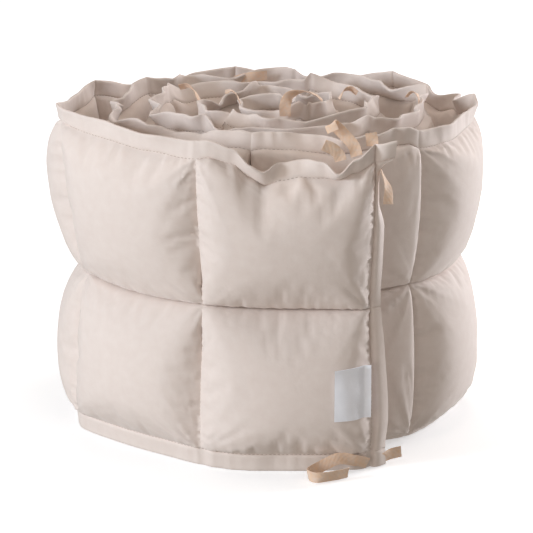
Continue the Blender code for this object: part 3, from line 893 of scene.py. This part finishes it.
def cap_faces(front, back):
    """Triangles that close an end between two rows of points of unequal number."""
    faces = []
    near, far = 0, 0
    while near < len(front) - 1 or far < len(back) - 1:
        front_share = (near + 1) / (len(front) - 1) if near < len(front) - 1 else 2
        back_share = (far + 1) / (len(back) - 1) if far < len(back) - 1 else 2
        if front_share <= back_share:
            faces.append((front[near], front[near + 1], back[far]))
            near += 1
        else:
            faces.append((front[near], back[far + 1], back[far]))
            far += 1
    return faces


def ring_faces(columns, front, back):
    """Faces of a closed tube of equal rings, each ring up its front face and down its back."""
    faces = []
    around = front + back
    for near in range(columns - 1):
        for step in range(around):
            low, high = near * around + step, near * around + (step + 1) % around
            faces.append((low, low + around, high + around, high))
    for ring in (0, columns - 1):
        base = ring * around
        faces += cap_faces(range(base, base + front), range(base + around - 1, base + front - 1, -1))
    return faces


class Level(NamedTuple):
    """A row of the cloth: height on the flat pad, and the share of the hem's thickness there."""

    height: float
    thin: float


FLANGE_LEVELS = (
    (0.0, 0.25), (0.0004, 0.55), (0.0012, 0.75), (0.0035, 0.62),
    (0.0075, 0.58), (0.0115, 0.66), (FLANGE - 0.0030, 0.80), (FLANGE - 0.0010, 0.62),
)


def cloth_levels(rows):
    """Rows from the lower edge to the upper, closer at the seams, with both edges rounded and a
    groove along each stitch line."""
    flange = [Level(*row) for row in FLANGE_LEVELS]
    puffs = []
    for row in range(2):
        for step in range(rows):
            height = FLANGE + (row + crowded(step, rows)) * ROW_HEIGHT
            puffs.append(Level(height, 1.0 if step else STITCHED_SHARE))
    top = [Level(PAD_HEIGHT - level.height, level.thin) for level in reversed(flange)]
    return flange + puffs + [Level(TOP_STITCH, STITCHED_SHARE)] + top


def column_lengths(first, last, columns):
    """Arc lengths of the cloth's upright lines from one seam to another, closer at the seams."""
    found = []
    for square in range(first, last):
        for step in range(columns):
            found.append(length_at(square + crowded(step, columns)))
    return found + [length_at(last)]


def pucker(length, height):
    """Folds set after the cloth is blown up: small bulges between one stitch and the next, close to
    a seam, and the pulls at the corners, in metres."""
    from_level, from_upright, _, _ = nearest_seams(length, height)
    if min(from_level, from_upright) < ON_SEAM:
        return 0.0
    depth = 0.0
    for where, across, distance, strength in (
        (height, length, from_upright, UPRIGHT_PUCKER),
        (length, height, from_level, LEVEL_PUCKER),
    ):
        wave = strength * math.sin(math.tau * where / PUCKER_PITCH)
        wave += ODD_PUCKER * ripple(where / ODD_PUCKER_SPACING, across / ODD_PUCKER_LENGTH)
        depth += wave * fades(distance, PUCKER_REACH, PUCKER_START)
    return PUCKER_DEPTH * depth + PULL_DEPTH * corner_pulls(length, height)


def blown_up(points, lengths, levels, around):
    """The visible squares' outer cotton, blown up between its seams by a cloth simulation. The cloth
    is cut a little larger than the gaps that it spans."""
    rows = [row for row, level in enumerate(levels) if LOW_STITCH <= level.height <= TOP_STITCH]
    last_seam = SEAMS[len(OUTER_SQUARES)]
    columns = [column for column, length in enumerate(lengths) if SEAMS[0] <= length <= last_seam]
    spots = [column * around + row for column in columns for row in rows]
    high = len(rows)
    middle_row = next(index for index, row in enumerate(rows) if levels[row].height == MIDDLE_SEAM)
    faces = []
    for column in range(len(columns) - 1):
        for row in range(high - 1):
            base = column * high + row
            faces.append((base, base + 1, base + high + 1, base + high))
    mesh = bpy.data.meshes.new("blown_cotton")
    mesh.from_pydata([tuple(points[spot] * ENLARGED) for spot in spots], [], faces)
    cloth = bpy.data.objects.new("blown_cotton", mesh)
    bpy.context.scene.collection.objects.link(cloth)
    flat = [(lengths[column], levels[row].height) for column in columns for row in rows]
    pinned = [index for index, spot in enumerate(flat) if min(nearest_seams(*spot)[:2]) < ON_SEAM]
    cloth.vertex_groups.new(name="sewn").add(pinned, 1.0, "REPLACE")
    springs = cloth.modifiers.new("springs", "CLOTH")
    springs.point_cache.frame_start, springs.point_cache.frame_end = 1, BLOWN_FRAMES
    springs.collision_settings.use_collision = False
    for setting, value in FABRIC.items():
        setattr(springs.settings, setting, value)
    springs.settings.effector_weights.gravity = 0
    scene = bpy.context.scene
    for frame_number in range(1, BLOWN_FRAMES + 1):
        scene.frame_set(frame_number)
    settled = cloth.evaluated_get(bpy.context.evaluated_depsgraph_get()).data
    for index, (spot, (length, height)) in enumerate(zip(spots, flat)):
        facing = settled.vertices[index].normal
        point = settled.vertices[index].co / ENLARGED + facing * pucker(length, height)
        # The puffs above and below the middle seam lie against each other and close its groove
        closing = CREASE_CLOSING * math.exp(-abs(height - MIDDLE_SEAM) / CREASE_REACH)
        seam_height = settled.vertices[index - index % high + middle_row].co.z / ENLARGED
        point.z += (seam_height - point.z) * closing
        points[spot] = point
    scene.frame_set(1)
    bpy.data.objects.remove(cloth)


def wound_cloth(name, lengths, rows, sizes, finish, blown=False):
    """A stretch of the pad as one closed skin: outer face, rounded hems and inner face."""
    front = cloth_levels(rows)
    back = list(reversed(cloth_levels(min(rows, HIDDEN_ROWS))))
    points, texture = [], []
    for length in lengths:
        station = station_at(length)
        pressed = PRESSED if blown and station.place < len(OUTER_SQUARES) else 1.0
        folds = STARTING_FOLDS if pressed < 1 else HALF_HIDDEN_FOLDS if blown else 1.0
        for level in front:
            points.append(pad_point(station, level.height, 1, sizes, level.thin, folds, pressed))
            texture.append((length, level.height))
        for level in back:
            points.append(pad_point(station, level.height, -1, sizes, level.thin))
            texture.append((length, level.height + 0.5))
    if blown:
        blown_up(points, lengths, front, len(front) + len(back))
    return dressed(name, points, ring_faces(len(lengths), len(front), len(back)), finish, texture)


def smooth_route(values, steps):
    """Vectors along a smooth curve through the given ones, with some steps between each pair."""
    ends = [values[0] * 2 - values[1]] + values + [values[-1] * 2 - values[-2]]
    found = []
    for index in range(1, len(ends) - 2):
        before, start, end, after = ends[index - 1 : index + 3]
        for step in range(steps):
            t = step / steps
            pull = (end - before) * t + (before * 2 - start * 5 + end * 4 - after) * t**2
            curl = (start * 3 - before - end * 3 + after) * t**3
            found.append(start + (pull + curl) / 2)
    return found + [values[-1]]


def tape_route(tie, sizes):
    """Points and width directions along a tie, from where it is sewn on."""
    station = station_at(length_at(tie.place))
    axes = (station.along, station.outward * tie.face, UP)
    on_face = pad_point(station, tie.height, tie.face, sizes, folds=0)
    skin = (on_face - pad_point(station, tie.height, -tie.face, sizes, folds=0)).normalized()
    root = on_face + skin * (SEWN_GAP + sizes.tape_thickness / 2)
    places, widths = [], []
    for along, off, up, *width in tie.route:
        places.append(root + axes[0] * (along / 1000) + axes[1] * (off / 1000) + axes[2] * (up / 1000))
        widths.append(sum((axis * part for axis, part in zip(axes, width)), Vector()))
    return smooth_route(places, TAPE_STEPS), smooth_route(widths, TAPE_STEPS)


def tape(tie, sizes, finish):
    """A woven tape along a tie's route, a little cupped across its width, moved onto its solid."""
    line, spread = tape_route(tie, sizes)
    across = [2 * step / TAPE_COLUMNS - 1 for step in range(TAPE_COLUMNS + 1)]
    points, texture = [], []
    travelled = 0.0
    for index, point in enumerate(line):
        ahead = (line[min(index + 1, len(line) - 1)] - line[max(index - 1, 0)]).normalized()
        width = (spread[index] - ahead * spread[index].dot(ahead)).normalized() * sizes.tape_width / 2
        thick = ahead.cross(width).normalized()
        if index:
            travelled += (point - line[index - 1]).length
        for side in (1, -1):
            for share in across if side > 0 else reversed(across):
                cup = TAPE_CUP * (share**2 - 0.5) * math.sin(CUP_RATE * index / TAPE_STEPS)
                edge = sizes.tape_thickness / 2 * (TAPE_EDGE if abs(share) == 1 else 1.0)
                points.append(point + width * share + thick * (cup + side * edge))
                texture.append((travelled, share * sizes.tape_width / 2 + (0 if side > 0 else 0.5)))
    low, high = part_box(tie.name)
    made_low = Vector(min(point[axis] for point in points) for axis in range(3))
    made_high = Vector(max(point[axis] for point in points) for axis in range(3))
    shift = (Vector(low) + Vector(high) - made_low - made_high) / 2
    points = [point + shift for point in points]
    faces = ring_faces(len(line), len(across), len(across))
    return dressed(tie.name + "_tape", points, faces, finish, texture), travelled


def spindle(points, faces, start, end, facing, width):
    """Adds one stitch: a thread that comes up out of the cloth, lies along it and goes down again."""
    ahead = end - start
    beside = ahead.cross(facing).normalized() * width / 2
    above = facing.normalized() * width / 2
    base = len(points)
    points.append(start - above)
    for share, size in STITCH_RINGS:
        for side in range(STITCH_SIDES):
            angle = math.tau * side / STITCH_SIDES
            offset = beside * (math.cos(angle) * size) + above * (math.sin(angle) * size)
            points.append(start + ahead * share + offset)
    points.append(end - above)
    last = len(points) - 1
    for side in range(STITCH_SIDES):
        other = (side + 1) % STITCH_SIDES
        faces.append((base, base + 1 + other, base + 1 + side))
        for ring in range(2):
            low, high = base + 1 + ring * STITCH_SIDES, base + 1 + (ring + 1) * STITCH_SIDES
            faces.append((low + side, low + other, high + other, high + side))
        top = base + 1 + 2 * STITCH_SIDES
        faces.append((top + side, top + other, last))


def sewn_line(points, faces, path):
    """Stitches along a path of (point, facing) pairs, at an even pitch."""
    travelled, target = 0.0, STITCH_PITCH / 2
    for (here, facing), (there, _) in zip(path, path[1:]):
        run = (there - here).length
        while run and target <= travelled + run:
            middle = here.lerp(there, (target - travelled) / run)
            half = (there - here) / run * STITCH_LENGTH / 2
            spindle(points, faces, middle - half, middle + half, facing, STITCH_WIDTH)
            target += STITCH_PITCH
        travelled += run


def face_spot(length, height, face, sizes):
    """A point on the cloth and the way that it faces there, for the thread."""
    station = station_at(length)
    spot = pad_point(station, height, face, sizes, STITCHED_SHARE, folds=0)
    behind = pad_point(station, height, -face, sizes, STITCHED_SHARE, folds=0)
    return spot, (spot - behind).normalized()


def seam_path(lengths, heights, face, sizes):
    """Spots along a seam from one length and height to another."""
    along, up = lengths[1] - lengths[0], heights[1] - heights[0]
    count = max(2, int(max(along, up) / SEAM_STEP))
    return [
        face_spot(lengths[0] + along * index / count, heights[0] + up * index / count, face, sizes)
        for index in range(count + 1)
    ]


class BUMPER_OT_pad(bpy.types.Operator):
    """Makes the quilted pad: its outer turn and the turns inside it"""

    bl_idname = "bumper.pad"
    bl_label = "Quilted pad"

    def execute(self, context):
        sizes, colours = context.scene.bumper_sizes, context.scene.bumper_colours
        finish = material_once(percale_cotton, "percale_cotton", colours)
        lengths = [FLANGE * share for share in END_COLUMNS]
        lengths += column_lengths(0, LAST_OUTER_SQUARE, OUTER_COLUMNS)
        outer = wound_cloth("outer_turn", lengths, OUTER_ROWS, sizes, finish, blown=True)
        lengths = column_lengths(LAST_OUTER_SQUARE, SQUARES, INNER_COLUMNS)
        lengths += [SEAMS[-1] + FLANGE * share for share in TAIL_COLUMNS]
        inner = wound_cloth("inner_turns", lengths, INNER_ROWS, sizes, finish)
        for piece in (outer, inner):
            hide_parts("quilted_roll")
            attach(piece, "root")
        return {"FINISHED"}


class BUMPER_OT_ties(bpy.types.Operator):
    """Makes the tape ties that are sewn along the hems"""

    bl_idname = "bumper.ties"
    bl_label = "Tape ties"

    def execute(self, context):
        sizes, colours = context.scene.bumper_sizes, context.scene.bumper_colours
        finish = material_once(twill_tape, "cotton_twill_tape", colours)
        for tie in TIES:
            made, length = tape(tie, sizes, finish)
            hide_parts(tie.name)
            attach(made, "root")
        return {"FINISHED"}


def bridging_row(cloth_points, outward):
    """A stiff tape's row over the cloth: straight between its ends, and over what stands higher."""
    start, end = cloth_points[LABEL_SEAM_STEPS], cloth_points[-1]
    count = len(cloth_points) - 1
    row = []
    for step, spot in enumerate(cloth_points):
        share = (step - LABEL_SEAM_STEPS) / (count - LABEL_SEAM_STEPS)
        straight = start + (end - start) * max(0.0, share)
        level = max(0.0, (spot - straight).dot(outward))
        flat = spot - outward * (spot - straight).dot(outward)
        row.append(flat + outward * level)
    return row


class BUMPER_OT_label(bpy.types.Operator):
    """Makes the folded side label, left bare"""

    bl_idname = "bumper.label"
    bl_label = "Side label"

    def execute(self, context):
        sizes, colours = context.scene.bumper_sizes, context.scene.bumper_colours
        finish = material_once(woven_label, "woven_label_tape", colours)
        steps = range(LABEL_STEPS + 1)
        width = LABEL_HIGH - LABEL_LOW
        lengths = [FLANGE + LABEL_OFF_SEAM + LABEL_REACH * step / LABEL_STEPS for step in steps]
        heights = [LABEL_LOW + width * step / LABEL_STEPS for step in steps]
        stations = [station_at(length) for length in lengths]
        base = [[pad_point(spot, height, 1, sizes, folds=0) for height in heights] for spot in stations]
        outward = stations[LABEL_STEPS // 2].outward
        surface = BVHTree.FromObject(bpy.data.objects["outer_turn"], context.evaluated_depsgraph_get())
        laid = []
        for row in steps:
            spots = []
            for column in steps:
                hit = surface.ray_cast(base[column][row] + outward * LABEL_PROBE, -outward)[0]
                spots.append(hit or base[column][row])
            laid.append(bridging_row(spots, outward))
        for _ in range(LABEL_SMOOTHING):
            before = [list(row) for row in laid]
            for row in steps:
                above, below = before[min(row + 1, LABEL_STEPS)], before[max(row - 1, 0)]
                for column in steps:
                    shift = (above[column] + below[column] - before[row][column] * 2).dot(outward) / 4
                    laid[row][column] = before[row][column] + outward * shift
        points, texture = [], []
        for column, length in enumerate(lengths):
            for side in (1, 0):
                for row in steps if side else reversed(steps):
                    # The upper outer corner curls up, over the last third each way
                    curl = max(0.0, column / LABEL_STEPS * 3 - 2) * max(0.0, row / LABEL_STEPS * 3 - 2)
                    lift = LABEL_CLEAR + sizes.label_thickness * side + LABEL_CURL * curl
                    points.append(laid[row][column] + outward * lift)
                    texture.append((length, heights[row] + (0 if side else 0.5)))
        faces = ring_faces(len(steps), len(steps), len(steps))
        made = dressed("side_label_tape", points, faces, finish, texture)
        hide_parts("side_label")
        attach(made, "root")
        return {"FINISHED"}


class BUMPER_OT_stitches(bpy.types.Operator):
    """Sews the thread along the hems and the upright seams"""

    bl_idname = "bumper.stitches"
    bl_label = "Stitches"

    def execute(self, context):
        sizes, colours = context.scene.bumper_sizes, context.scene.bumper_colours
        finish = material_once(thread_finish_with_painted_shade, "spun_thread_with_painted_shade", colours)
        points, faces = [], []
        top, low = (TOP_STITCH, TOP_STITCH), (LOW_STITCH, LOW_STITCH)
        seams = [((SEAMS[0], SEAMS[-1]), top, 1), ((SEAMS[0], SEAMS[-1]), top, -1)]
        seams.append(((SEAMS[0], SEAMS[SEWN_SEAMS]), low, 1))
        seams += [((length, length), (LOW_STITCH, TOP_STITCH), 1) for length in SEAMS[: SEWN_SEAMS + 1]]
        for lengths, heights, face in seams:
            sewn_line(points, faces, seam_path(lengths, heights, face, sizes))
        made = dressed("seam_thread", points, faces, finish)
        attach(made, "root")
        return {"FINISHED"}


class BUMPER_OT_stage(bpy.types.Operator):
    """Sets out a pale sweep, soft studio lights and the camera"""

    bl_idname = "bumper.stage"
    bl_label = "Stage"

    def execute(self, context):
        # Seamless paper, smooth and matt: a white that has no edge
        surface = {"Base Color": linear("F7F6F5"), "Roughness": 0.9, "Emission Color": linear("F3F9FF")}
        sweep_finish, tree, shader = new_material("pale_paper_with_painted_glow", surface)
        where = add_node(tree, "ShaderNodeTexCoord")
        away = add_node(tree, "ShaderNodeVectorMath", {"operation": "LENGTH"})
        tree.links.new(where.outputs["Object"], away.inputs[0])
        # Painted light: the paper glows, weaker near the middle of the stage where the object stands, so
        # the paper is painted darker round it, and stronger far off
        ends = {"From Min": NEAR_PAPER, "From Max": FAR_PAPER, "To Min": NEAR_GLOW, "To Max": FAR_GLOW}
        glow = add_node(tree, "ShaderNodeMapRange", {}, ends, {"Value": away.outputs["Value"]})
        tree.links.new(glow.outputs["Result"], shader.inputs["Emission Strength"])
        profile = [(0.0, 0.0), (PAPER_RADIUS, 0.0)]
        for step in range(1, PAPER_BENDS + 1):
            angle = math.pi / 2 * step / PAPER_BENDS
            profile.append((PAPER_RADIUS + math.sin(angle), 1.0 - math.cos(angle)))
        profile.append((PAPER_RADIUS + 1.0, PAPER_HEIGHT))
        points, faces = [], []
        for radius, height in profile:
            for side in range(PAPER_SIDES):
                angle = math.tau * side / PAPER_SIDES
                points.append((radius * math.cos(angle), radius * math.sin(angle), height))
        for row in range(len(profile) - 1):
            for side in range(PAPER_SIDES):
                base, other = row * PAPER_SIDES, (side + 1) % PAPER_SIDES
                above = base + PAPER_SIDES
                faces.append((base + side, base + other, above + other, above + side))
        mesh = bpy.data.meshes.new("paper_sweep")
        mesh.from_pydata(points, [], faces)
        mesh.shade_smooth()
        mesh.materials.append(sweep_finish)
        sweep = bpy.data.objects.new("paper_sweep", mesh)
        sweep.visible_diffuse = False
        context.scene.collection.objects.link(sweep)
        world = bpy.data.worlds.new("studio_air")
        world.use_nodes = True
        air = world.node_tree.nodes["Background"].inputs
        air["Color"].default_value = linear("FFF6EC")
        air["Strength"].default_value = AIR_LIGHT
        context.scene.world = world
        context.scene.view_settings.view_transform = "Standard"
        for name, place, aim, size, power, colour in LIGHTS:
            light = bpy.data.lights.new(name, "AREA")
            light.shape = "SQUARE"
            light.size = size
            light.energy = power
            light.color = linear(colour)[:3]
            lamp = bpy.data.objects.new(name, light)
            lamp.location = place
            lamp.rotation_euler = (Vector(aim) - Vector(place)).to_track_quat("-Z", "Y").to_euler()
            context.scene.collection.objects.link(lamp)
        camera = bpy.data.cameras.new("camera")
        camera.sensor_width = SENSOR_WIDTH
        camera.lens = CAMERA_LENS
        shown = bpy.data.objects.new("camera", camera)
        shown.location = CAMERA_PLACE
        shown.rotation_euler = (math.radians(90 - CAMERA_DROP), 0, 0)
        context.scene.collection.objects.link(shown)
        context.scene.camera = shown
        return {"FINISHED"}


# White paper on the floor that turns up all round, far off, in metres
PAPER_RADIUS = 7.0
PAPER_HEIGHT = 6.0
PAPER_BENDS = 10
PAPER_SIDES = 64

CAMERA_PLACE = (-0.0009, -2.3800, 0.825)
CAMERA_DROP = 15.83
SENSOR_WIDTH = 36.0
CAMERA_LENS = 2472 / 533 * SENSOR_WIDTH

# The paper glows, painted light that keeps it white round the object. The glow is weaker close to the
# object, which darkens the paper there as painted shade and lets the contact shadow show, and stronger
# far off
NEAR_GLOW, FAR_GLOW = 0.37, 0.66
NEAR_PAPER, FAR_PAPER = 0.30, 1.10
AIR_LIGHT = 0.36

LIGHTS = [
    ("soft_window_left", (-2.56, -1.34, 0.95), (0.0, 0.0, 0.17), 0.7, 54.0, "EAF4FF"),
    ("soft_overhead", (0.1, 0.1, 2.2), (0.0, 0.0, 0.3), 1.0, 9.0, "FFEBDC"),
    ("soft_rim_right", (2.12, 1.18, 0.45), (0.0, 0.0, 0.12), 1.2, 66.0, "F8F9FF"),
    ("soft_bounce_low", (-1.0, -1.5, 0.05), (0.0, 0.0, 0.08), 1.2, 10.0, "FFF8F2"),
]

CLASSES = (
    BumperSizes,
    BumperColours,
    BUMPER_OT_pad,
    BUMPER_OT_ties,
    BUMPER_OT_label,
    BUMPER_OT_stitches,
    BUMPER_OT_stage,
)


class BUMPER_PT_parts(bpy.types.Panel):
    """Lists the pieces of the bumper, and the sizes and colours that they take"""

    bl_label = "Rolled Crib Bumper"
    bl_space_type = "VIEW_3D"
    bl_region_type = "UI"
    bl_category = "Bumper"

    def draw(self, context):
        layout = self.layout
        for group in (context.scene.bumper_sizes, context.scene.bumper_colours):
            for name in group.bl_rna.properties.keys():
                if name not in ("rna_type", "name"):
                    layout.prop(group, name)
        for operator in ("pad", "ties", "label", "stitches", "stage"):
            layout.operator("bumper." + operator)


def register():
    for made in (*CLASSES, BUMPER_PT_parts):
        bpy.utils.register_class(made)
    bpy.types.Scene.bumper_sizes = PointerProperty(type=BumperSizes)
    bpy.types.Scene.bumper_colours = PointerProperty(type=BumperColours)


def unregister():
    del bpy.types.Scene.bumper_colours
    del bpy.types.Scene.bumper_sizes
    for made in reversed((*CLASSES, BUMPER_PT_parts)):
        bpy.utils.unregister_class(made)


def main():
    register()
    bpy.ops.bumper.pad()
    bpy.ops.bumper.ties()
    bpy.ops.bumper.label()
    bpy.ops.bumper.stitches()
    bpy.ops.bumper.stage()


if __name__ == "__main__":
    main()
